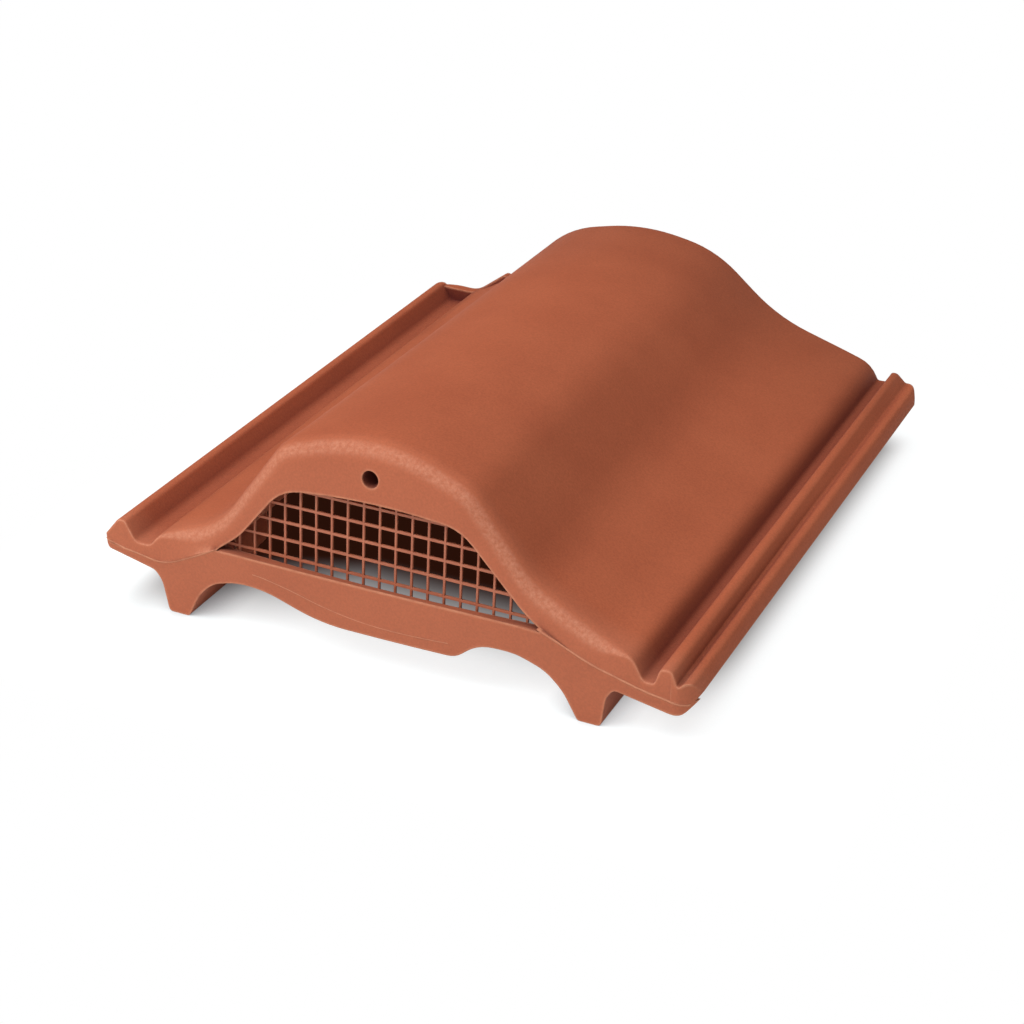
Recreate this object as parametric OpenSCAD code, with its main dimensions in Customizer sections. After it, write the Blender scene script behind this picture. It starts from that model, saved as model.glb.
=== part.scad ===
// Roof ventilation tile: one cast tile with a raised hood, whose front end is an arched vent
// closed by a wire mesh. A rail stands along the left edge, a water lock along the right.
// Frame: X across from the rail to the lock, Y from the eave end to the head end, Z up.
// The feet stand on Z = 0 and the origin is the centre of the footprint.

/* [Tile] */
// overall width, rail to lock
tile_w = 370; // [360:1:384]
// overall length, with the bulge of the front lip
tile_l = 400; // [380:1:430]
// thickness of the cast shell
shell_t = 13; // [11:0.5:15]
// thickness of the front wall of the hood
front_wall = 16; // [14:0.5:20]
// thickness of the wall that closes the hood at the head end
head_wall = 14; // [10:0.5:20]
// angle at which the front wall leans back
face_lean = 7; // [3:0.5:10]
// rounding between the front wall and the top
nose_r = 11; // [6:0.5:13]
// rounding of the front corner beside the lock seen from above
front_corner_r = 14; // [6:0.5:16]
// rounding of the front corner of the rail seen from above
rail_corner_r = 7; // [4:0.5:12]
// rounding of the head corner beside the lock seen from above
head_corner_r = 18; // [10:0.5:24]
// rounding of the head corner of the rail seen from above
rail_head_r = 30; // [14:0.5:34]

/* [Hood] */
// middle of the hood at the front
hood_x = -7.5; // [-12:0.5:-2]
// middle of the hood at the head end
hood_head_x = -16.5; // [-20:0.5:-6]
// height of the crest at the front
crest_h = 131; // [125:0.5:137]
// height of the crest at the head end
crest_head_h = 117.5; // [112:0.5:122]
// width between the shoulders at the front
shoulder_w = 118; // [108:1:126]
// width between the shoulders at the head end
shoulder_head_w = 108; // [98:1:116]
// width between the feet of the flanks at the front
flank_w = 198; // [190:1:206]
// width between the feet of the flanks at the head end
flank_head_w = 204; // [196:1:212]

/* [Wings] */
// height of the rail
rail_h = 52; // [49:0.5:56]
// height of the channel floor beside the rail
channel_h = 40.5; // [38:0.5:43]
// height of the pan beside the lock at the front
pan_h = 46.5; // [44:0.5:49]
// height of the pan beside the lock at the head end
pan_head_h = 47.8; // [46:0.5:51]
// height of the rib of the lock
rib_h = 44.5; // [42:0.5:47]
// height of the main groove of the lock
groove_h = 35; // [32:0.5:38]

/* [Vent] */
// width of the arched opening at its sill
vent_w = 202.5; // [190:0.5:206]
// height of the top of the arched opening
vent_top = 98.2; // [94:0.2:102]
// height of the sill at its ends
sill_h = 49; // [47:0.5:51]
// how far the sill sags in the middle
sill_sag = 2.3; // [1:0.1:4]
// depth of the lip in front of the mesh
lip_t = 4.8; // [4:0.2:8]
// depth of the lip below the vent
lip_depth = 9; // [8:0.5:16]
// diameter of the hole above the vent
bore_d = 10; // [8:0.5:12]
// height of the hole's axis
bore_h = 111.5; // [110:0.5:113]

/* [Mesh] */
// distance from one upright wire to the next
mesh_pitch = 10; // [9:0.1:12]
// distance from one cross wire to the next
mesh_rise = 10.4; // [9:0.1:12]
// width of an upright wire
upright_t = 1.4; // [1:0.1:2]
// width of a cross wire
cross_t = 1.7; // [1.2:0.1:2.4]
// depth of the mesh
mesh_t = 1.6; // [1.2:0.1:2.4]
// how far the mesh reaches behind the edge of the opening
mesh_cover = 4; // [3:0.5:5]
// clearance around the mesh in its rebate
mesh_clear = 0.3; // [0.2:0.1:0.6]
// how far the mesh's rim stays back from the edge of the opening
mesh_rim = 1; // [0.5:0.1:2]

/* [Feet] */
// height of the apron's middle lobe above the ground
lobe_h = 21; // [18:0.5:24]
// length of the two front feet
foot_l = 60; // [40:1:90]
// length of the two head feet
head_foot_l = 30; // [20:1:45]
// how far the lobe bulges forward of the front wall
bulge = 3; // [2:0.5:5]

/* [Hidden] */
$fn = 48;
body_l = tile_l - bulge;
half_w = tile_w / 2;
// how far a cutter starts outside what it cuts, and how far a deep one runs past it
cut = 1;
over = 20;
// height at which the leaning front wall meets the plane Y = 0
lean_z = 33;

// left edge: rail and channel, measured from the left tip
tip_h = 38;
rail_side = 0.3;
rail_slope_h = 12.8;
rail_out = 10.8;
rail_in = 15.5;
channel_from = 23;
channel_to = 33;
wing_from = 39.5;
wing_h = 48.8;

// right edge: pan, groove, rib, second groove and shoulder, measured from the right tip
pan_edge = 36;
groove_from = 29.5;
groove_to = 23.5;
groove_rise = 2.2;
rib_from = 20.5;
rib_to = 14;
rib_head_to = 16.7;
slit_from = 10.7;
slit_to = 9;
slit_h = 36.5;
slit_head_h = 38.7;
shoulder_from = 7.8;
shoulder_to = 3.5;
shoulder_h = 38.2;
shoulder_head_h = 39.3;
edge_h = 31;

// vent and mesh
vent_x = -4.25;
mesh_shift = 0.1;
cross_low = 41.6;

// middles of the feet
foot_l_x = -half_w + 51;
foot_r_x = half_w - 61;

// hood heights that follow the crest
crown_rise = 7;
crown_head_rise = 2.6;
drop_l = 12.3;
drop_r = 15.2;
drop_head_l = 9;
drop_head_r = 7.5;
flank_l_h = 61.6;
flank_r_h = 71.3;
flank_head_l_h = 60.2;
flank_head_r_h = 70;
pan_break = 53;
pan_break_h = 50.6;
pan_break_head_h = 54.2;

// rounding of the front edge: small along the channel and the lock, full between these distances
// from the left and the right tip
edge_r = 1.2;
nose_full_l = 62;
nose_full_r = 62;
nose_none_r = 34;
nose_steps = 6;
// where the rounded front has passed into the straight run, and where the head edge is eased
fade_y = 48;
head_ease = 2;

// underside of the wings
under_tip = 34;
under_wing = 25.7;
under_pan = 25;
under_lock = 19.2;
lock_edge = 8;
wing_in = 36;
pan_in = 46;
lock_in = 14;
edge_t = 1.5;

// how far the lip reaches past the wall above it and below the wings
lip_lap = 1;
// radius of the lobe's bulge seen from above, and how deep its root sits in the lip
lobe_curve_r = 1500;
lobe_root = 1;
// height inside the casting to which the feet's ribs reach
foot_root_h = 44;
// free room beside the opening behind the sill
sill_room = 6;
rebate_depth = 10;
// by how much a corner's round crosses both sides, so that it never only touches them
corner_bite = 0.12;

function mix(a, b, t) = a + (b - a) * t;
function unit(v) = v / norm(v);

// tangent length of corner p between a and b, kept short enough for the bends beside it
function fillet(a, p, b) =
    p[2] == 0 ? 0 :
    p[2] * min(1, 0.98 * norm([p[0] - a[0], p[1] - a[1]]) / (a[2] + p[2]),
               0.98 * norm([b[0] - p[0], b[1] - p[1]]) / (b[2] + p[2]));

// one rounded corner: tangent points at distance d on both sides, joined by a parabola
function bend(a, p, b, d, n) =
    d == 0 ? [p] :
    let (s = p + unit(a - p) * d, e = p + unit(b - p) * d)
    [for (i = [0:n]) let (t = i / n) (1 - t) * (1 - t) * s + 2 * t * (1 - t) * p + t * t * e];

function turn(a, p, b) =
    bend([a[0], a[1]], [p[0], p[1]], [b[0], b[1]], fillet(a, p, b), p[3]);

// an open line through corners [x, z, tangent length, steps]
function rounded(c) =
    [for (i = [0:len(c) - 1])
        each (i == 0 || i == len(c) - 1 ? [[c[i][0], c[i][1]]] : turn(c[i - 1], c[i], c[i + 1]))];

// a closed line through corners [x, z, tangent length, steps]
function looped(c) =
    let (m = len(c))
    [for (i = [0:m - 1])
        each turn(c[(i + m - 1) % m], c[i], c[(i + 1) % m])];

// corners of the top line across the tile, from the front (t = 0) to the head (t = 1)
function top_corners(t) =
    let (x = mix(hood_x, hood_head_x, t), sw = mix(shoulder_w, shoulder_head_w, t) / 2,
         fw = mix(flank_w, flank_head_w, t) / 2, crest = mix(crest_h, crest_head_h, t))
    [[-half_w, tip_h, 0, 0],
     [-half_w + rail_side, rail_h - rail_slope_h, 1, 2],
     [-half_w + rail_out, rail_h, 2.4, 4],
     [-half_w + rail_in, rail_h, 1.9, 3],
     [-half_w + channel_from, channel_h, 3, 3],
     [-half_w + channel_to, channel_h, 3, 3],
     [-half_w + wing_from, mix(wing_h, wing_h + 1, t), 4.5, 3],
     [x - fw - 2, mix(flank_l_h, flank_head_l_h, t), mix(16, 22, t), 7],
     [x - sw, mix(crest - drop_l, crest - drop_head_l, t), mix(9, 21, t), 7],
     [x + mix(5, 2, t), crest + mix(crown_rise, crown_head_rise, t), mix(42, 26, t), 9],
     [x + sw, mix(crest - drop_r, crest - drop_head_r, t), mix(8, 21, t), 7],
     [x + fw - 2, mix(flank_r_h, flank_head_r_h, t), mix(12, 23, t), 7],
     [half_w - pan_break, mix(pan_break_h, pan_break_head_h, t), 9, 4],
     [half_w - pan_edge + 1.5 * t, mix(pan_h, pan_head_h, t), mix(5, 9, t), 4],
     [half_w - groove_from, mix(groove_h, groove_h + groove_rise, t), mix(2.5, 1.5, t), 3],
     [half_w - groove_to, mix(groove_h, groove_h + groove_rise, t), 1.5, 2],
     [half_w - rib_from, rib_h, mix(2.5, 1.6, t), 3],
     [half_w - mix(rib_to, rib_head_to, t), rib_h, mix(2.5, 1.6, t), 3],
     [half_w - slit_from, mix(slit_h, slit_head_h, t), 0.6, 1],
     [half_w - slit_to, mix(slit_h, slit_head_h, t), 0.5, 1],
     [half_w - shoulder_from, mix(shoulder_h, shoulder_head_h, t), 0.7, 1],
     [half_w - shoulder_to, mix(shoulder_h, shoulder_head_h, t), 2, 3],
     [half_w, edge_h, 0, 0]];

// upward normal of a line at its point i
function normal(line, i) =
    let (a = line[max(i - 1, 0)], b = line[min(i + 1, len(line) - 1)], d = unit(b - a))
    [-d[1], d[0]];

// rounding of the front edge across the tile: full on the hood, small along the channel and lock
function ramp(x, a, b) = let (s = max(0, min(1, (x - a) / (b - a)))) s * s * (3 - 2 * s);
function nose(x) =
    edge_r + (nose_r - edge_r) * ramp(x, -half_w + channel_to, -half_w + nose_full_l)
                               * ramp(x, half_w - nose_none_r, half_w - nose_full_r);

// underside of the cast wings
function under(x) =
    x < -half_w + wing_in ? mix(under_tip, under_wing, (x + half_w) / wing_in) :
    x < half_w - pan_in ? mix(under_wing, under_pan, (x + half_w - wing_in) / (tile_w - wing_in - pan_in)) :
    x < half_w - lock_in ? mix(under_pan, under_lock, (x - half_w + pan_in) / (pan_in - lock_in)) :
    x < half_w - lock_edge ? under_lock :
    mix(under_lock, edge_h - edge_t, (x - half_w + lock_edge) / lock_edge);

// parting line where the leaning front wall ends and the lip below it begins
part_left = [[-half_w + 0.6, tip_h - 0.6, 0, 0],
             [-half_w + 38, 30.8, 12, 5],
             [vent_x - vent_w / 2 + 1, sill_h + 1, 0, 0]];
part_right = [[vent_x + vent_w / 2 - 0.5, sill_h + 1.5, 0, 0],
              [half_w - 59, 37.3, 8, 3],
              [half_w - 35, 30.3, 10, 4],
              [half_w - 10, 26.2, 3, 2],
              [half_w - 0.6, 27.5, 0, 0]];
parting = concat(rounded(part_left), rounded(part_right));
function on_parting(x) = lookup(x, parting);
// the wall reaches down behind the lip
function face_foot(x) = on_parting(x) - lip_lap;

// depth at which the leaning front wall stands at height z
function lean_y(z) = (z - lean_z) * tan(face_lean);

// rings of the cast block: the rounded front, then straight sections to the head
function front_ring(k) =
    let (line = rounded(top_corners(0)), a = 90 * k / nose_steps)
    [for (i = [0:len(line) - 1])
        let (r = nose(line[i][0]), q = line[i] - normal(line, i) * r * (1 - sin(a)))
        [q[0], lean_y(q[1]) + r * (1 - cos(a)), q[1]]];
function plain_ring(y, inset) =
    let (line = rounded(top_corners(y / body_l)))
    [for (i = [0:len(line) - 1])
        let (q = line[i] - normal(line, i) * inset)
        [q[0], y, q[1]]];
block_tops =
    [for (k = [0:nose_steps]) front_ring(k),
     for (y = [fade_y, body_l * 0.4, body_l * 0.7, body_l - head_ease]) plain_ring(y, 0),
     plain_ring(body_l, edge_r)];
function block_low(ring, k) =
    [for (p = ring)
        let (foot = face_foot(p[0]))
        [p[0], mix(lean_y(foot), p[1], min(1, k / nose_steps)),
         mix(foot, under(p[0]) + lip_lap, min(1, k / 4))]];
block_lows = [for (k = [0:len(block_tops) - 1]) block_low(block_tops[k], k)];

// a closed body between a grid of top points and a grid of low points
module between(tops, lows) {
    rows = len(tops);
    n = len(tops[0]);
    low = rows * n;
    function at(k, i) = k * n + i;
    faces = [
        for (k = [0:rows - 2], i = [0:n - 2]) each [
            [at(k, i), at(k + 1, i), at(k + 1, i + 1)],
            [at(k, i), at(k + 1, i + 1), at(k, i + 1)],
            [low + at(k, i), low + at(k + 1, i + 1), low + at(k + 1, i)],
            [low + at(k, i), low + at(k, i + 1), low + at(k + 1, i + 1)]],
        for (i = [0:n - 2]) each [
            [at(0, i), at(0, i + 1), low + at(0, i + 1)],
            [at(0, i), low + at(0, i + 1), low + at(0, i)],
            [at(rows - 1, i), low + at(rows - 1, i + 1), at(rows - 1, i + 1)],
            [at(rows - 1, i), low + at(rows - 1, i), low + at(rows - 1, i + 1)]],
        for (k = [0:rows - 2]) each [
            [at(k, 0), low + at(k, 0), low + at(k + 1, 0)],
            [at(k, 0), low + at(k + 1, 0), at(k + 1, 0)],
            [at(k, n - 1), low + at(k + 1, n - 1), low + at(k, n - 1)],
            [at(k, n - 1), at(k + 1, n - 1), low + at(k + 1, n - 1)]]];
    polyhedron(points = concat([for (r = tops) each r], [for (r = lows) each r]), faces = faces);
}

module cast_block() {
    between(block_tops, block_lows);
}

// hollow below the hood: the top line set in by the shell's thickness
function hollow_corners(t) =
    let (x = mix(hood_x, hood_head_x, t), sw = mix(shoulder_w, shoulder_head_w, t) / 2,
         fw = mix(flank_w, flank_head_w, t) / 2, crest = mix(crest_h, crest_head_h, t) - shell_t)
    [[-half_w + 40, under_wing - 2, 0, 0],
     [-half_w + 44, wing_h - shell_t, 3, 3],
     [x - fw + 8, mix(flank_l_h, flank_head_l_h, t) - shell_t + 1, 16, 5],
     [x - sw + 5, mix(crest - drop_l, crest - drop_head_l, t) + 1, 8, 5],
     [x + mix(5, 2, t), crest + mix(crown_rise, crown_head_rise, t), 30, 7],
     [x + sw - 5, mix(crest - drop_r, crest - drop_head_r, t) + 1, 8, 5],
     [x + fw - 10, mix(flank_r_h, flank_head_r_h, t) - shell_t + 1, 12, 5],
     [half_w - pan_break, mix(pan_break_h, pan_break_head_h, t) - shell_t, 4, 3],
     [half_w - 40, under_pan - 2, 0, 0]];
function hollow_ring(y, lean) =
    [for (p = rounded(hollow_corners(y / body_l))) [p[0], y + (p[1] - lean_z) * tan(lean), p[1]]];
hollow_tops =
    [hollow_ring(front_wall, face_lean),
     hollow_ring(body_l / 2, 0),
     hollow_ring(body_l - head_wall, 0)];

module hollow() {
    lows =
        [for (k = [0:len(hollow_tops) - 1])
            [for (p = hollow_tops[k]) [p[0], k == 0 ? front_wall : p[1], -cut]]];
    between(hollow_tops, lows);
}

// a flat outline in X and Z, drawn out along Y
module along(y0, y1) {
    translate([0, y1, 0])
        rotate([90, 0, 0])
            linear_extrude(y1 - y0)
                children();
}

// a body built against an upright front face, laid back to the lean of the wall
module leaning() {
    translate([0, 0, lean_z])
        rotate([-face_lean, 0, 0])
            translate([0, 0, -lean_z])
                children();
}

// corners of an outline [x, z, tangent length, steps] moved outward by g
function grown(c, g) =
    let (m = len(c))
    [for (i = [0:m - 1])
        let (a = c[(i + m - 1) % m], p = c[i], b = c[(i + 1) % m],
             u = unit([p[0] - a[0], p[1] - a[1]]), v = unit([b[0] - p[0], b[1] - p[1]]),
             n = [-u[1] - v[1], u[0] + v[0]] * g / (1 + u * v))
        [p[0] + n[0], p[1] + n[1], p[2], p[3]]];

// the arched opening, grown by g all round
function arch(g) =
    let (l = vent_x - vent_w / 2, r = vent_x + vent_w / 2)
    grown([[l, sill_h, 0, 0],
           [l + 14.5, sill_h + 11, 5, 3],
           [l + 42, vent_top - 4.7, 13, 5],
           [vent_x - 6, vent_top + 0.9, 35, 7],
           [r - 50, vent_top - 3.2, 11, 5],
           [r - 11, sill_h + 7.7, 5, 3],
           [r, sill_h, 0, 0],
           [vent_x, sill_h - sill_sag / 0.7, 60, 10]], g);

// the opening, the rebate for the mesh behind it, and free room behind the sill
module opening() {
    rebate_y = front_wall + rebate_depth;
    along(-bulge - cut, front_wall + cut)
        polygon(looped(arch(0)));
    leaning()
        along(lip_t, rebate_y)
            polygon(looped(arch(mesh_cover)));
    translate([vent_x - vent_w / 2 - sill_room, lip_depth, -cut])
        cube([vent_w + 2 * sill_room, rebate_y - lip_depth, sill_h - mesh_cover + cut]);
}

// outline of a foot about its middle, from the outer side (minus) to the inner side,
// starting at the underside of the wing
function foot_side(top) =
    [[-15.5, top, 2, 2],
     [-11, 20, 4, 3],
     [-8, 0, 2.5, 3],
     [5.5, 0, 1.5, 3],
     [14, 16, 5, 4],
     [24, 26, 6, 4]];
function left_foot() =
    let (c = foot_side(under_wing))
    [for (i = [len(c) - 1:-1:0]) [foot_l_x + c[i][0], c[i][1], c[i][2], c[i][3]]];
function right_foot() =
    [for (c = foot_side(under_pan)) [foot_r_x - c[0], c[1], c[2], c[3]]];

module feet() {
    for (c = [left_foot(), right_foot()]) {
        n = len(c) - 1;
        rib = concat([[c[0][0], foot_root_h, 0, 0]], c, [[c[n][0], foot_root_h, 0, 0]]);
        for (y = [[front_wall / 2, foot_l], [body_l - head_foot_l, body_l - head_ease]])
            along(y[0], y[1])
                polygon(looped(rib));
    }
}

// the lip below the vent: its top is the parting line, below are the feet, an arch beside each and
// a middle lobe
lip_corners = concat(
    part_left,
    part_right,
    [[half_w - lock_edge, under_lock, 3, 3],
     [half_w - 14, under_lock, 2, 2]],
    right_foot(),
    [[foot_r_x - 42, 32.3, 8, 4],
     [half_w - 124, 32.5, 9, 5],
     [half_w - 138, lobe_h, 5, 4],
     [-half_w + 148, lobe_h, 16, 6],
     [-half_w + 112, 31.8, 10, 6],
     [foot_l_x + 42, 31.8, 8, 4]],
    left_foot(),
    [[-half_w + 3, under_tip - 0.8, 1.5, 2]]);
module lip() {
    along(0, lip_depth)
        polygon(looped(lip_corners));
    intersection() {
        along(-bulge, lobe_root)
            polygon(looped(lip_corners));
        translate([vent_x - 8, lobe_curve_r - bulge, 0])
            cylinder(r = lobe_curve_r, h = sill_h + over, $fn = 720);
    }
}

// raised bar that closes the channel at the head end
module channel_end() {
    along(body_l - 7, body_l)
        polygon(looped(
            [[-half_w + 6, 40, 0, 0],
             [-half_w + 9, rail_h - 1.5, 3, 3],
             [-half_w + 41, rail_h - 3, 6, 4],
             [-half_w + 66, 67, 3, 3],
             [-half_w + 72, 62, 0, 0],
             [-half_w + 50, 44, 0, 0],
             [-half_w + 30, 36, 0, 0]]));
}

// what a rounded corner takes off
module corner_cut(r) {
    c = r - corner_bite;
    difference() {
        translate([-cut, -cut, -cut])
            cube([c + cut, c + cut, rail_h + over]);
        translate([c, c, -2 * cut])
            cylinder(r = r, h = rail_h + over + 3 * cut);
    }
}

module bore() {
    translate([hood_x, -cut, bore_h])
        rotate([-90, 0, 0])
            cylinder(d = bore_d, h = front_wall + over);
}

module placed() {
    translate([0, -(body_l - bulge) / 2, 0])
        children();
}

module tile_body() {
    color([0.70, 0.40, 0.28])
        placed()
            difference() {
                union() {
                    difference() {
                        cast_block();
                        hollow();
                    }
                    lip();
                    feet();
                    channel_end();
                }
                opening();
                bore();
                translate([-half_w, 0, 0])
                    corner_cut(rail_corner_r);
                translate([half_w, 0, 0])
                    mirror([1, 0, 0])
                        corner_cut(front_corner_r);
                translate([-half_w, body_l, 0])
                    mirror([0, 1, 0])
                        corner_cut(rail_head_r);
                translate([half_w, body_l, 0])
                    rotate([0, 0, 180])
                        corner_cut(head_corner_r);
            }
}

// a rim behind the edge of the opening, with wires that run into it
module mesh_outline() {
    uprights = ceil((vent_w / 2 + mesh_cover) / mesh_pitch);
    crosses = floor((vent_top - cross_low) / mesh_rise);
    difference() {
        polygon(looped(arch(mesh_cover - mesh_clear)));
        polygon(looped(arch(mesh_rim)));
    }
    intersection() {
        polygon(looped(arch(mesh_rim + 1)));
        union() {
            for (i = [-uprights:uprights])
                translate([vent_x + mesh_shift + i * mesh_pitch - upright_t / 2, 0])
                    square([upright_t, vent_top + over]);
            for (j = [0:crosses])
                translate([-half_w, cross_low + j * mesh_rise - cross_t / 2])
                    square([tile_w, cross_t]);
        }
    }
}

module vent_mesh() {
    color([0.62, 0.33, 0.24])
        placed()
            leaning()
                along(lip_t + mesh_clear, lip_t + mesh_clear + mesh_t)
                    mesh_outline();
}

tile_body();
vent_mesh();
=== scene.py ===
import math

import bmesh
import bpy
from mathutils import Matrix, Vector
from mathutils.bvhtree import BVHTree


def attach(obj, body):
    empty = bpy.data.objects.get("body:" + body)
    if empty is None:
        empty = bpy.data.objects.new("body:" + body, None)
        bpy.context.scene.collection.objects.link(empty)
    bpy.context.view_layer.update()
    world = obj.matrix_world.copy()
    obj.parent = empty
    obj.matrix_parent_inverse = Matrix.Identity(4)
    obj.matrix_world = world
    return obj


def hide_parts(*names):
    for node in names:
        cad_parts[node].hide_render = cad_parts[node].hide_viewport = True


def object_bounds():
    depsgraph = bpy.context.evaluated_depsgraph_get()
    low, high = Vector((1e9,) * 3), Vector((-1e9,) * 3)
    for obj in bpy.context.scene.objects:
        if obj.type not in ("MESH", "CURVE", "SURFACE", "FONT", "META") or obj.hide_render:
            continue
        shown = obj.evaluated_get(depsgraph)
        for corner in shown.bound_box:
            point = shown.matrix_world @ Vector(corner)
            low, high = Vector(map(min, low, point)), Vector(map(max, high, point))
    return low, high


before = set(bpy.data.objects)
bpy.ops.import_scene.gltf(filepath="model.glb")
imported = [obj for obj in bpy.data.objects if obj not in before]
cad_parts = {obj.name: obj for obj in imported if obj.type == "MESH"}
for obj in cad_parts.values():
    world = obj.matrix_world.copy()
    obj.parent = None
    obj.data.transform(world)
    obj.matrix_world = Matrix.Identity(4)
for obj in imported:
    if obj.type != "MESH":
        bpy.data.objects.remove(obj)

# Looks of the roof ventilation tile: one cast, fired clay tile with a matt skin, and the plastic
# mesh that closes the arched vent under its hood. The shapes are the solids' own, but for small
# forms of the front that were found past the time for changes to the solids: the sill's edge, the
# foot of the wall beside the vent, the front right corner, the mould's raised lines and the
# rounding of the wires. The rest is smooth shading, finishes, and a plain white studio with soft
# light.

cad_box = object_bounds()

MM = 0.001
# half the width and half the length of the tile, which stands on the middle of its footprint
HALF_W, HALF_L = cad_box[1][0], cad_box[1][1]
# points closer than the first are one point, and edges shorter than the second are slivers
SAME_POINT = 0.01 * MM
SLIVER = 0.02 * MM

# the sill below the vent: the vent's middle and half its width, where the sill's front edge lies in
# the solid, and how far it is drawn up
VENT_X = -4.25 * MM
VENT_HALF_W = 101 * MM
EDGE_Y = -196.8 * MM
SILL_LOW = 46 * MM
SILL_HIGH = 50 * MM
SILL_RISE = 4.6 * MM

# the step along the parting line: where it starts and ends on both sides of the vent's middle, the
# depths that it lies between, its least height, and the width of it that stays
STEP_START = VENT_HALF_W + 3 * MM
STEP_END = 160 * MM
STEP_OUTER = -198.5 * MM
STEP_INNER = -195 * MM
STEP_LOW = 25 * MM
STEP_KEPT = 0.03 * MM

# the front right corner: where its rounding begins, how far out the front stands there, and the
# width over which the front is eased in
CORNER_X = 171.12 * MM
CORNER_Y = -197.12 * MM
CORNER_EASE = 14 * MM

# raised lines that the mould's joints left: beside the vent along the parting line, left and right,
# and over the lobe; points in mm, placed by the photograph, and the radius
SEAMS = [
    ([(-183.6, -195.5, 38.0), (-177.9, -196.5, 36.8), (-169.5, -196.8, 35.0),
      (-159.0, -196.9, 33.6), (-149.0, -197.1, 32.2), (-143.1, -197.1, 32.3),
      (-136.7, -197.0, 33.9), (-127.3, -197.0, 38.2), (-119.4, -197.0, 42.1),
      (-111.9, -197.0, 46.1), (-106.0, -197.0, 49.2)], 0.4 * MM),
    ([(97.5, -197.3, 49.8), (107.8, -197.3, 45.4), (121.5, -197.3, 39.3), (130.1, -197.2, 36.3),
      (137.7, -197.0, 34.2), (147.4, -197.1, 31.8), (157.1, -197.4, 29.7), (166.2, -197.5, 28.1),
      (172.1, -197.1, 26.8), (177.1, -195.8, 25.8), (180.6, -193.4, 25.7)], 0.45 * MM),
    ([(-80.8, -198.4, 40.3), (-74.3, -198.7, 39.9), (-65.7, -199.0, 38.6), (-53.4, -199.4, 36.3),
      (-36.5, -199.6, 32.3), (-17.5, -199.7, 29.2), (1.3, -199.7, 27.8), (23.0, -199.5, 27.9),
      (42.7, -199.0, 28.8)], 0.2 * MM),
]

# the mesh panel: its lean, how much of its wires' corners is rounded off, and how far the wires
# have shrunk all round
PANEL_LEAN = math.radians(7)
WIRE_ROUND = 0.5 * MM
WIRE_SHRINK = 0.12 * MM

# the floor beside the tile as the camera sees it: overexposed, and cooler than the light that the
# tile throws back; the part of it that the lamps light; and how far out the shadow has faded
OVEREXPOSED = (1.9, 2.2, 2.25, 1)
LAMPLIT = 0.15
SHADOW_REACH = 100 * MM

# painted shade on the floor under the tile, in place of the shade of its roof space: how far behind
# the lip it begins to darken and is dark, where it begins to do so sooner towards the rail and by
# how much, and the strip along the other edges over which it darkens
DARK_START = 16 * MM
DARK_END = 110 * MM
RAILWARD_X = -60 * MM
RAILWARD_SLOPE = 0.4
DARK_OUTSIDE = 2 * MM
DARK_INSIDE = 30 * MM

# the colour inputs and the colour output of a mix node, whose names its number sockets share
FIRST, SECOND, MIXED = 6, 7, 2


# Colours and nodes

def linear(code):
    """An sRGB hex colour as linear red, green, blue and alpha."""
    parts = [int(code[i:i + 2], 16) / 255 for i in (1, 3, 5)]
    light = [p / 12.92 if p <= 0.04045 else ((p + 0.055) / 1.055) ** 2.4 for p in parts]
    return (*light, 1)


def add(tree, kind, links=(), stops=(), **settings):
    """Adds a node. Links are (source, input) pairs, whose source is a node's output or a plain
    value, and stops are a ramp's (place, colour) pairs. A setting is a property of the node, or
    else the value of the input that has its name."""
    node = tree.nodes.new(kind)
    for name, value in settings.items():
        if hasattr(node, name):
            setattr(node, name, value)
        else:
            node.inputs[name.replace("_", " ")].default_value = value
    for i, (place, code) in enumerate(stops):
        stop = node.color_ramp.elements[i] if i < 2 else node.color_ramp.elements.new(place)
        stop.position = place
        stop.color = linear(code)
    for source, target in links:
        if isinstance(source, bpy.types.NodeSocket):
            tree.links.new(source, node.inputs[target])
        else:
            node.inputs[target].default_value = source
    return node


def blank(name):
    """A material with an empty tree."""
    material = bpy.data.materials.new(name)
    material.use_nodes = True
    material.node_tree.nodes.clear()
    return material, material.node_tree


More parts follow.
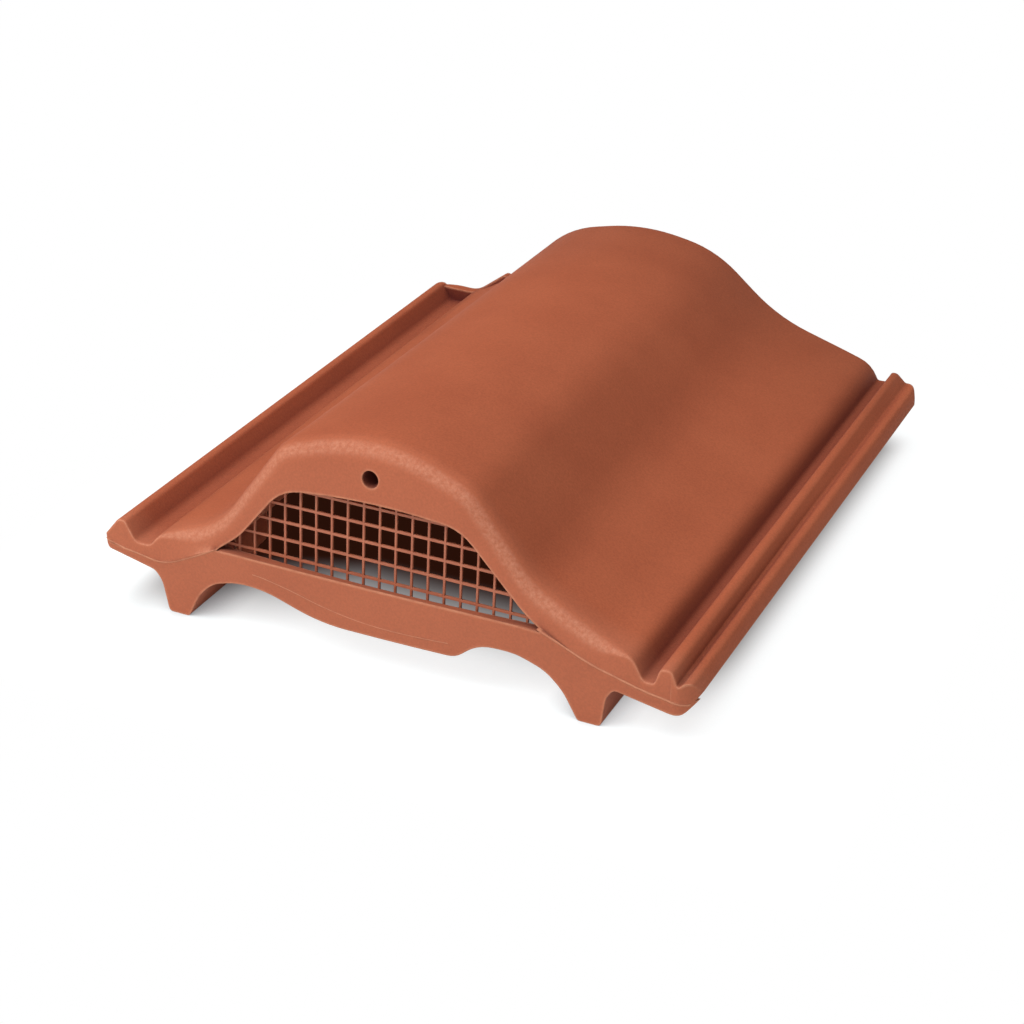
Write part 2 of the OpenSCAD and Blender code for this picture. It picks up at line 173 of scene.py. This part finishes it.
def fired_clay():
    """Fired clay, pressed in a mould and coated with a thin slip of the same clay: warm red-brown
    and dead matt, with a fine sandy grain, faint clouds where the slip lies thicker, and edges
    where the paler body shows through."""
    material, tree = blank("fired clay with matt slip")
    coords = add(tree, "ShaderNodeTexCoord")
    place = coords.outputs["Object"]

    # clouds of slip, about 55 mm across
    clouds = add(tree, "ShaderNodeTexNoise", [(place, "Vector")], Scale=1 / (55 * MM), Detail=3.0)
    tone = add(tree, "ShaderNodeValToRGB", [(clouds.outputs["Fac"], "Fac")],
               [(0.32, "#AB5431"), (0.68, "#B35B37")])
    # sand grains of about 1.3 mm; real ones are half as wide and would not show from here
    grain = add(tree, "ShaderNodeTexNoise", [(place, "Vector")],
                Scale=1 / (1.3 * MM), Detail=2.0, Roughness=0.6)
    speck = add(tree, "ShaderNodeValToRGB", [(grain.outputs["Fac"], "Fac")],
                [(0.32, "#EAEAEA"), (0.68, "#FFFFFF")])
    sandy = add(tree, "ShaderNodeMix",
                [(tone.outputs["Color"], FIRST), (speck.outputs["Color"], SECOND)],
                data_type="RGBA", blend_type="MULTIPLY", Factor=1.0)

    # painted shade: grooves and inner corners are painted darker and redder, where the shade falls
    hollow = add(tree, "ShaderNodeAmbientOcclusion", only_local=True, samples=4, Distance=30 * MM)
    painted_hollow_shade = add(tree, "ShaderNodeValToRGB", [(hollow.outputs["AO"], "Fac")],
              [(0.35, "#8A4835"), (0.96, "#FFFFFF")])
    with_hollow_shade = add(tree, "ShaderNodeMix",
                   [(sandy.outputs[MIXED], FIRST), (painted_hollow_shade.outputs["Color"], SECOND)],
                   data_type="RGBA", blend_type="MULTIPLY", Factor=1.0)

    # painted sheen: the front is painted paler, for the light that falls on it there; along the
    # rounding of the hood's front, where the surface turns from upright to lying, a pale sandy band
    # is partly the slip rubbed off the body and partly a painted highlight
    axis = add(tree, "ShaderNodeSeparateXYZ", [(place, "Vector")])
    painted_front_sheen = add(tree, "ShaderNodeMapRange", [(axis.outputs["Y"], "Value")],
                  From_Min=-172 * MM, From_Max=-192 * MM, To_Min=0.0, To_Max=0.14)
    facing = add(tree, "ShaderNodeSeparateXYZ", [(coords.outputs["Normal"], "Vector")])
    turned = add(tree, "ShaderNodeMapRange", [(facing.outputs["Y"], "Value")],
                 interpolation_type="SMOOTHSTEP", From_Min=-0.97, From_Max=-0.8)
    not_lying = add(tree, "ShaderNodeMapRange", [(facing.outputs["Y"], "Value")],
                    interpolation_type="SMOOTHSTEP", From_Min=-0.35, From_Max=-0.65)
    rounding = add(tree, "ShaderNodeMath",
                   [(turned.outputs["Result"], 0), (not_lying.outputs["Result"], 1)],
                   operation="MULTIPLY")
    upward = add(tree, "ShaderNodeMapRange", [(facing.outputs["Z"], "Value")],
                 From_Min=0.05, From_Max=0.2)
    band = add(tree, "ShaderNodeMath", [(rounding.outputs[0], 0), (upward.outputs["Result"], 1)],
               operation="MULTIPLY")
    scuffs = add(tree, "ShaderNodeTexNoise", [(place, "Vector")],
                 Scale=1 / (2.2 * MM), Detail=4.0, Roughness=0.75)
    scuffed = add(tree, "ShaderNodeMapRange", [(scuffs.outputs["Fac"], "Value")],
                  From_Min=0.38, From_Max=0.68, To_Min=0.1, To_Max=0.5)
    # the band's wear and painted highlight, with its speckle, and the front's painted sheen take
    # the pale colour
    wear_and_painted_sheen = add(tree, "ShaderNodeMath",
               [(band.outputs[0], 0), (scuffed.outputs["Result"], 1),
                (painted_front_sheen.outputs["Result"], 2)], operation="MULTIPLY_ADD", use_clamp=True)
    bared_and_painted_sheen = add(tree, "ShaderNodeMix",
                [(wear_and_painted_sheen.outputs[0], 0), (with_hollow_shade.outputs[MIXED], FIRST),
                 (linear("#CF8F72"), SECOND)], data_type="RGBA")

    # rubbed edges within 1.6 mm of an outer corner, broken up every 5 mm or so
    thin = add(tree, "ShaderNodeAmbientOcclusion",
               inside=True, only_local=True, samples=4, Distance=1.6 * MM)
    near_edge = add(tree, "ShaderNodeMapRange", [(thin.outputs["AO"], "Value")],
                    From_Min=0.95, From_Max=0.55, To_Min=0.0, To_Max=1.4)
    ragged = add(tree, "ShaderNodeTexNoise", [(place, "Vector")], Scale=1 / (5 * MM), Detail=3.0)
    rubbed = add(tree, "ShaderNodeMath",
                 [(near_edge.outputs["Result"], 0), (ragged.outputs["Fac"], 1)],
                 operation="MULTIPLY", use_clamp=True)
    colour = add(tree, "ShaderNodeMix",
                 [(rubbed.outputs[0], 0), (bared_and_painted_sheen.outputs[MIXED], FIRST),
                  (linear("#D08B69"), SECOND)], data_type="RGBA")

    # shallow waves left by the mould, about 30 mm across, and the grain itself
    waves = add(tree, "ShaderNodeTexNoise", [(place, "Vector")], Scale=1 / (30 * MM), Detail=1.0)
    soft_edge = add(tree, "ShaderNodeBevel", Radius=1.0 * MM, samples=6)
    wavy = add(tree, "ShaderNodeBump",
               [(waves.outputs["Fac"], "Height"), (soft_edge.outputs[0], "Normal")],
               Strength=0.5, Distance=0.5 * MM)
    grainy = add(tree, "ShaderNodeBump",
                 [(grain.outputs["Fac"], "Height"), (wavy.outputs[0], "Normal")],
                 Strength=0.5, Distance=0.12 * MM)

    skin = add(tree, "ShaderNodeBsdfPrincipled",
               [(colour.outputs[MIXED], "Base Color"), (grainy.outputs[0], "Normal")],
               Roughness=0.8, IOR=1.5)
    add(tree, "ShaderNodeOutputMaterial", [(skin.outputs[0], "Surface")])
    return material


def moulded_plastic():
    """Moulded polypropylene in the tile's colour: a little lighter and smoother than the clay round
    it, with faint streaks where the melt flowed."""
    material, tree = blank("moulded polypropylene, tile red")
    place = add(tree, "ShaderNodeTexCoord").outputs["Object"]
    # streaks of about 8 mm
    flow = add(tree, "ShaderNodeTexNoise", [(place, "Vector")], Scale=1 / (8 * MM), Detail=2.0)
    colour = add(tree, "ShaderNodeValToRGB", [(flow.outputs["Fac"], "Fac")],
                 [(0.3, "#A75E43"), (0.7, "#B2694C")])
    soft_edge = add(tree, "ShaderNodeBevel", Radius=0.4 * MM, samples=4)
    skin = add(tree, "ShaderNodeBsdfPrincipled",
               [(colour.outputs["Color"], "Base Color"), (soft_edge.outputs[0], "Normal")],
               Roughness=0.5, IOR=1.49)
    add(tree, "ShaderNodeOutputMaterial", [(skin.outputs[0], "Surface")])
    return material


def studio_white():
    """Matt white studio floor. The camera sees it overexposed round the tile, so that the shadow
    stays close, and as pure white further out, so that it has no horizon. Under the hood it is
    painted dark brown: painted shade for the roof space that the tile covers."""
    material, tree = blank("matt white floor")
    place = add(tree, "ShaderNodeTexCoord").outputs["Object"]
    axis = add(tree, "ShaderNodeSeparateXYZ", [(place, "Vector")])
    across = add(tree, "ShaderNodeMath", [(axis.outputs["X"], 0)], operation="ABSOLUTE")
    along = add(tree, "ShaderNodeMath", [(axis.outputs["Y"], 0)], operation="ABSOLUTE")

    # distance from the tile's footprint
    beside = add(tree, "ShaderNodeMapRange", [(across.outputs[0], "Value")],
                 From_Min=HALF_W, From_Max=HALF_W + SHADOW_REACH)
    before = add(tree, "ShaderNodeMapRange", [(along.outputs[0], "Value")],
                 From_Min=HALF_L, From_Max=HALF_L + SHADOW_REACH)
    away = add(tree, "ShaderNodeMath",
               [(beside.outputs["Result"], 0), (before.outputs["Result"], 1)],
               operation="MAXIMUM")
    far = add(tree, "ShaderNodeMapRange", [(away.outputs[0], "Value")],
              interpolation_type="SMOOTHSTEP")

    # painted shade: the floor under the tile is darkened to stand in for the shade of its roof
    # space
    aside = add(tree, "ShaderNodeMath", [(axis.outputs["X"], 0), (-RAILWARD_X, 1)],
                operation="ADD")
    railward = add(tree, "ShaderNodeMath", [(aside.outputs[0], 0), (0, 1)], operation="MINIMUM")
    slant = add(tree, "ShaderNodeMath",
                [(railward.outputs[0], 0), (-RAILWARD_SLOPE, 1), (axis.outputs["Y"], 2)],
                operation="MULTIPLY_ADD")
    inward = add(tree, "ShaderNodeMapRange", [(slant.outputs[0], "Value")],
                 interpolation_type="SMOOTHSTEP",
                 From_Min=DARK_START - HALF_L, From_Max=DARK_END - HALF_L)
    sideways = add(tree, "ShaderNodeMapRange", [(across.outputs[0], "Value")],
                   interpolation_type="SMOOTHSTEP",
                   From_Min=HALF_W + DARK_OUTSIDE, From_Max=HALF_W - DARK_INSIDE)
    headward = add(tree, "ShaderNodeMapRange", [(axis.outputs["Y"], "Value")],
                   interpolation_type="SMOOTHSTEP",
                   From_Min=HALF_L + DARK_OUTSIDE, From_Max=HALF_L - DARK_INSIDE)
    under = add(tree, "ShaderNodeMath",
                [(inward.outputs["Result"], 0), (sideways.outputs["Result"], 1)],
                operation="MULTIPLY")
    painted_shade_under_hood = add(tree, "ShaderNodeMath",
                     [(under.outputs[0], 0), (headward.outputs["Result"], 1)],
                     operation="MULTIPLY")

    # soft shade where the tile stands on the floor or hangs low over it, and a little of the lamps'
    # own shadow
    open_sky = add(tree, "ShaderNodeAmbientOcclusion", samples=16, Distance=24 * MM)
    shade = add(tree, "ShaderNodeValToRGB", [(open_sky.outputs["AO"], "Fac")],
                [(0.05, "#58585A"), (0.85, "#FFFFFF"), (0.3, "#ABABAD"), (0.6, "#EAEAEB")])
    # painted shade: the camera sees the soft shade's colours, and under the hood dark brown; the
    # lamplit part is painted dark there too
    painted_floor_shade = add(tree, "ShaderNodeMix",
                  [(painted_shade_under_hood.outputs[0], 0), (shade.outputs["Color"], FIRST),
                   (linear("#2A120A"), SECOND)], data_type="RGBA")
    glow = add(tree, "ShaderNodeEmission", [(painted_floor_shade.outputs[MIXED], "Color")], Strength=1.0)
    lit_paint_with_shade = add(tree, "ShaderNodeMix",
                [(painted_shade_under_hood.outputs[0], 0), (OVEREXPOSED, FIRST), (linear("#54281A"), SECOND)],
                data_type="RGBA")
    lit = add(tree, "ShaderNodeBsdfDiffuse", [(lit_paint_with_shade.outputs[MIXED], "Color")])
    near = add(tree, "ShaderNodeMixShader", [(glow.outputs[0], 1), (lit.outputs[0], 2)],
               Fac=LAMPLIT)

    # what the camera and gloss see, and the plain floor that lights the tile from below
    path = add(tree, "ShaderNodeLightPath")
    seen = add(tree, "ShaderNodeMath",
               [(path.outputs["Is Camera Ray"], 0), (path.outputs["Is Glossy Ray"], 1)],
               operation="MAXIMUM")
    white = add(tree, "ShaderNodeEmission", Color=linear("#FFFFFF"), Strength=1.0)
    shown = add(tree, "ShaderNodeMixShader",
                [(far.outputs["Result"], 0), (near.outputs[0], 1), (white.outputs[0], 2)])
    plain = add(tree, "ShaderNodeBsdfDiffuse", Color=linear("#E6E4E1"))
    mix = add(tree, "ShaderNodeMixShader",
              [(seen.outputs[0], 0), (plain.outputs[0], 1), (shown.outputs[0], 2)])
    add(tree, "ShaderNodeOutputMaterial", [(mix.outputs[0], "Surface")])
    return material


# Pieces

def merged(mesh):
    """The shape of a copied solid, whose loose triangles are joined before anything else."""
    body = bmesh.new()
    body.from_mesh(mesh)
    bmesh.ops.remove_doubles(body, verts=body.verts, dist=SAME_POINT)
    return body


def place_piece(name, body, mesh, material):
    """Writes the shape to the mesh and puts it at the origin, in its one material."""
    body.to_mesh(mesh)
    body.free()
    mesh.materials.clear()
    mesh.materials.append(material)
    piece = bpy.data.objects.new(name, mesh)
    bpy.context.scene.collection.objects.link(piece)
    return piece


def smooth_by_angle(body, degrees):
    """Smooth shading everywhere but on edges sharper than the angle."""
    bmesh.ops.remove_doubles(body, verts=body.verts, dist=SAME_POINT)
    bmesh.ops.dissolve_degenerate(body, dist=SLIVER, edges=body.edges)
    body.normal_update()
    for face in body.faces:
        face.smooth = True
    for edge in body.edges:
        shared = len(edge.link_faces) == 2
        edge.smooth = shared and edge.calc_face_angle(0) < math.radians(degrees)


def raise_sill_edge(body):
    """Draws the front edge of the sill up, most in the middle, so that the sill falls back to the
    mesh."""
    for vertex in body.verts:
        x, y, z = vertex.co
        if y < EDGE_Y and SILL_LOW < z < SILL_HIGH:
            vertex.co.z += SILL_RISE * max(0, 1 - ((x - VENT_X) / VENT_HALF_W) ** 2)


def close_parting_step(body):
    """Draws the foot of the front wall out to the lip's edge beside the vent, so that the parting
    line between them has no step."""
    body.normal_update()
    step = []
    for face in body.faces:
        x, y, z = face.calc_center_median()
        beside = VENT_HALF_W < abs(x - VENT_X) < STEP_END
        lying = abs(face.normal.y) < 0.1 and face.normal.z > 0.8
        if beside and lying and STEP_OUTER < y < STEP_INNER and z > STEP_LOW:
            step.extend(face.verts)
    step = list(dict.fromkeys(step))
    edge = [v for v in step if v.co.y < EDGE_Y]
    foot = [v for v in step if v.co.y >= EDGE_Y and abs(v.co.x - VENT_X) > STEP_START]
    for vertex in foot:
        nearest = min(edge, key=lambda v: abs(v.co.x - vertex.co.x))
        vertex.co.y = nearest.co.y + STEP_KEPT


def ease_corner(body):
    """Draws the front in towards the lock, so that it runs into the corner's rounding without a
    step."""
    start = CORNER_X - CORNER_EASE
    for vertex in body.verts:
        x, y, z = vertex.co
        if y < CORNER_Y and x > start:
            t = min(1, (x - start) / CORNER_EASE)
            vertex.co.y += (CORNER_Y - y) * t * t * (3 - 2 * t)


def smooth_path(points):
    """Points along a curve through the given points, three to a step."""
    ends = [2 * points[0] - points[1], *points, 2 * points[-1] - points[-2]]
    path = []
    for a, b, c, d in zip(ends, ends[1:], ends[2:], ends[3:]):
        for t in (0, 1 / 3, 2 / 3):
            path.append((2 * b + t * (c - a) + t * t * (2 * a - 5 * b + 4 * c - d)
                         + t ** 3 * (3 * b - a - 3 * c + d)) / 2)
    return path + [points[-1]]


def add_seams(body):
    """Lays the mould's raised lines on the skin, each as a thin closed bead half sunk in it."""
    skin = BVHTree.FromBMesh(body)
    skin_faces = set(body.faces)
    for points, radius in SEAMS:
        path = [skin.find_nearest(p)[0] for p in smooth_path([Vector(q) * MM for q in points])]
        turn = (path[1] - path[0]).to_track_quat("Z", "Y").to_matrix().to_4x4()
        ring = bmesh.ops.create_circle(body, cap_ends=True, segments=8, radius=radius,
                                       matrix=Matrix.Translation(path[0]) @ turn)["verts"]
        end = ring[0].link_faces[0]
        for here, there in zip(path, path[1:]):
            # given with its edges, the face moves on and leaves no wall inside the bead
            grown = bmesh.ops.extrude_face_region(body, geom=[end, *end.edges])["geom"]
            end = next(g for g in grown if isinstance(g, bmesh.types.BMFace))
            bmesh.ops.translate(body, vec=there - here, verts=end.verts[:])
    beads = [face for face in body.faces if face not in skin_faces]
    bmesh.ops.recalc_face_normals(body, faces=beads)
    # the beads stay inside the solids' box
    for face in beads:
        for vertex in face.verts:
            vertex.co.y = max(vertex.co.y, -HALF_L)


def cast_tile():
    """The tile's skin: the solid's own surface with the small forms of its front, and its curves
    shaded smooth."""
    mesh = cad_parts["tile_body"].data.copy()
    body = merged(mesh)
    raise_sill_edge(body)
    close_parting_step(body)
    ease_corner(body)
    smooth_by_angle(body, degrees=32)
    add_seams(body)
    piece = place_piece("cast_tile_skin", body, mesh, fired_clay())
    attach(piece, "root")
    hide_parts("tile_body")


def vent_panel():
    """The mesh panel: its own solid, with the wires a little shrunk and their long corners rounded
    off."""
    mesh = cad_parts["vent_mesh"].data.copy()
    body = merged(mesh)
    bmesh.ops.dissolve_limit(body, angle_limit=math.radians(1), verts=body.verts, edges=body.edges)
    for vertex in body.verts:
        vertex.co -= vertex.normal * vertex.calc_shell_factor() * WIRE_SHRINK
    outward = Vector((0, -math.cos(PANEL_LEAN), math.sin(PANEL_LEAN)))
    corners = [edge for edge in body.edges if len(edge.link_faces) == 2
               and edge.calc_face_angle(0) > math.radians(60)
               and any(abs(face.normal.dot(outward)) > 0.99 for face in edge.link_faces)]
    bmesh.ops.bevel(body, geom=corners, offset=WIRE_ROUND, segments=3, profile=0.5,
                    affect="EDGES", clamp_overlap=True)
    smooth_by_angle(body, degrees=40)
    piece = place_piece("mesh_panel", body, mesh, moulded_plastic())
    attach(piece, "root")
    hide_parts("vent_mesh")


# Floor, light and camera

def floor():
    """A plain sheet of 12 by 12 m."""
    sheet = bmesh.new()
    bmesh.ops.create_grid(sheet, x_segments=1, y_segments=1, size=6)
    mesh = bpy.data.meshes.new("studio_floor")
    place_piece("studio_floor", sheet, mesh, studio_white())


def softbox(name, place, width, height, watts):
    """A rectangular lamp that faces the tile."""
    lamp = bpy.data.lights.new(name, "AREA")
    lamp.shape = "RECTANGLE"
    lamp.size = width
    lamp.size_y = height
    lamp.energy = watts
    piece = bpy.data.objects.new(name, lamp)
    piece.location = place
    towards_tile = Vector((0, 0, 0.05)) - Vector(place)
    piece.rotation_euler = towards_tile.to_track_quat("-Z", "Y").to_euler()
    bpy.context.scene.collection.objects.link(piece)


def surroundings():
    """Soft white light, most from above the front and little from behind the tile; the camera sees
    plain white."""
    world = bpy.data.worlds.new("white studio")
    world.use_nodes = True
    tree = world.node_tree
    tree.nodes.clear()
    path = add(tree, "ShaderNodeLightPath")
    towards = add(tree, "ShaderNodeTexCoord").outputs["Generated"]
    ahead = add(tree, "ShaderNodeVectorMath", [(towards, 0), ((-0.1, -0.75, 0.65), 1)],
                operation="DOT_PRODUCT")
    level = add(tree, "ShaderNodeMapRange", [(ahead.outputs["Value"], "Value")],
                From_Min=-0.4, From_Max=0.9, To_Min=0.03, To_Max=0.5)
    dim = add(tree, "ShaderNodeBackground", [(level.outputs["Result"], "Strength")],
              Color=linear("#FFFFFF"))
    white = add(tree, "ShaderNodeBackground", Color=linear("#FFFFFF"), Strength=1.0)
    mix = add(tree, "ShaderNodeMixShader",
              [(path.outputs["Is Camera Ray"], 0), (dim.outputs[0], 1), (white.outputs[0], 2)])
    add(tree, "ShaderNodeOutputWorld", [(mix.outputs[0], "Surface")])
    bpy.context.scene.world = world


def camera():
    """At the photograph's viewing angle: 26.9 degrees round to the lock's side, 28.9 degrees up."""
    lens = bpy.data.cameras.new("camera")
    lens.sensor_width = 36
    lens.lens = 71.97
    piece = bpy.data.objects.new("camera", lens)
    right = Vector((0.89507459, 0.44569553, -0.01403511))
    up = Vector((-0.20478474, 0.43881386, 0.87493177))
    back = Vector((0.39611198, -0.78025502, 0.48404278))
    turn = Matrix((right, up, back)).transposed().to_4x4()
    piece.matrix_world = Matrix.Translation((0.49490, -1.01088, 0.62257)) @ turn
    bpy.context.scene.collection.objects.link(piece)
    bpy.context.scene.camera = piece


cast_tile()
vent_panel()

floor()
surroundings()
softbox("overhead", (0.1, 0.0, 2.2), 2.2, 2.2, 24)
softbox("high key from the front left", (-1.05, -1.05, 1.65), 0.9, 0.9, 25)
softbox("low strip in front", (0.3, -2.15, 0.3), 1.8, 0.35, 6)
camera()
bpy.context.scene.view_settings.view_transform = "Standard"
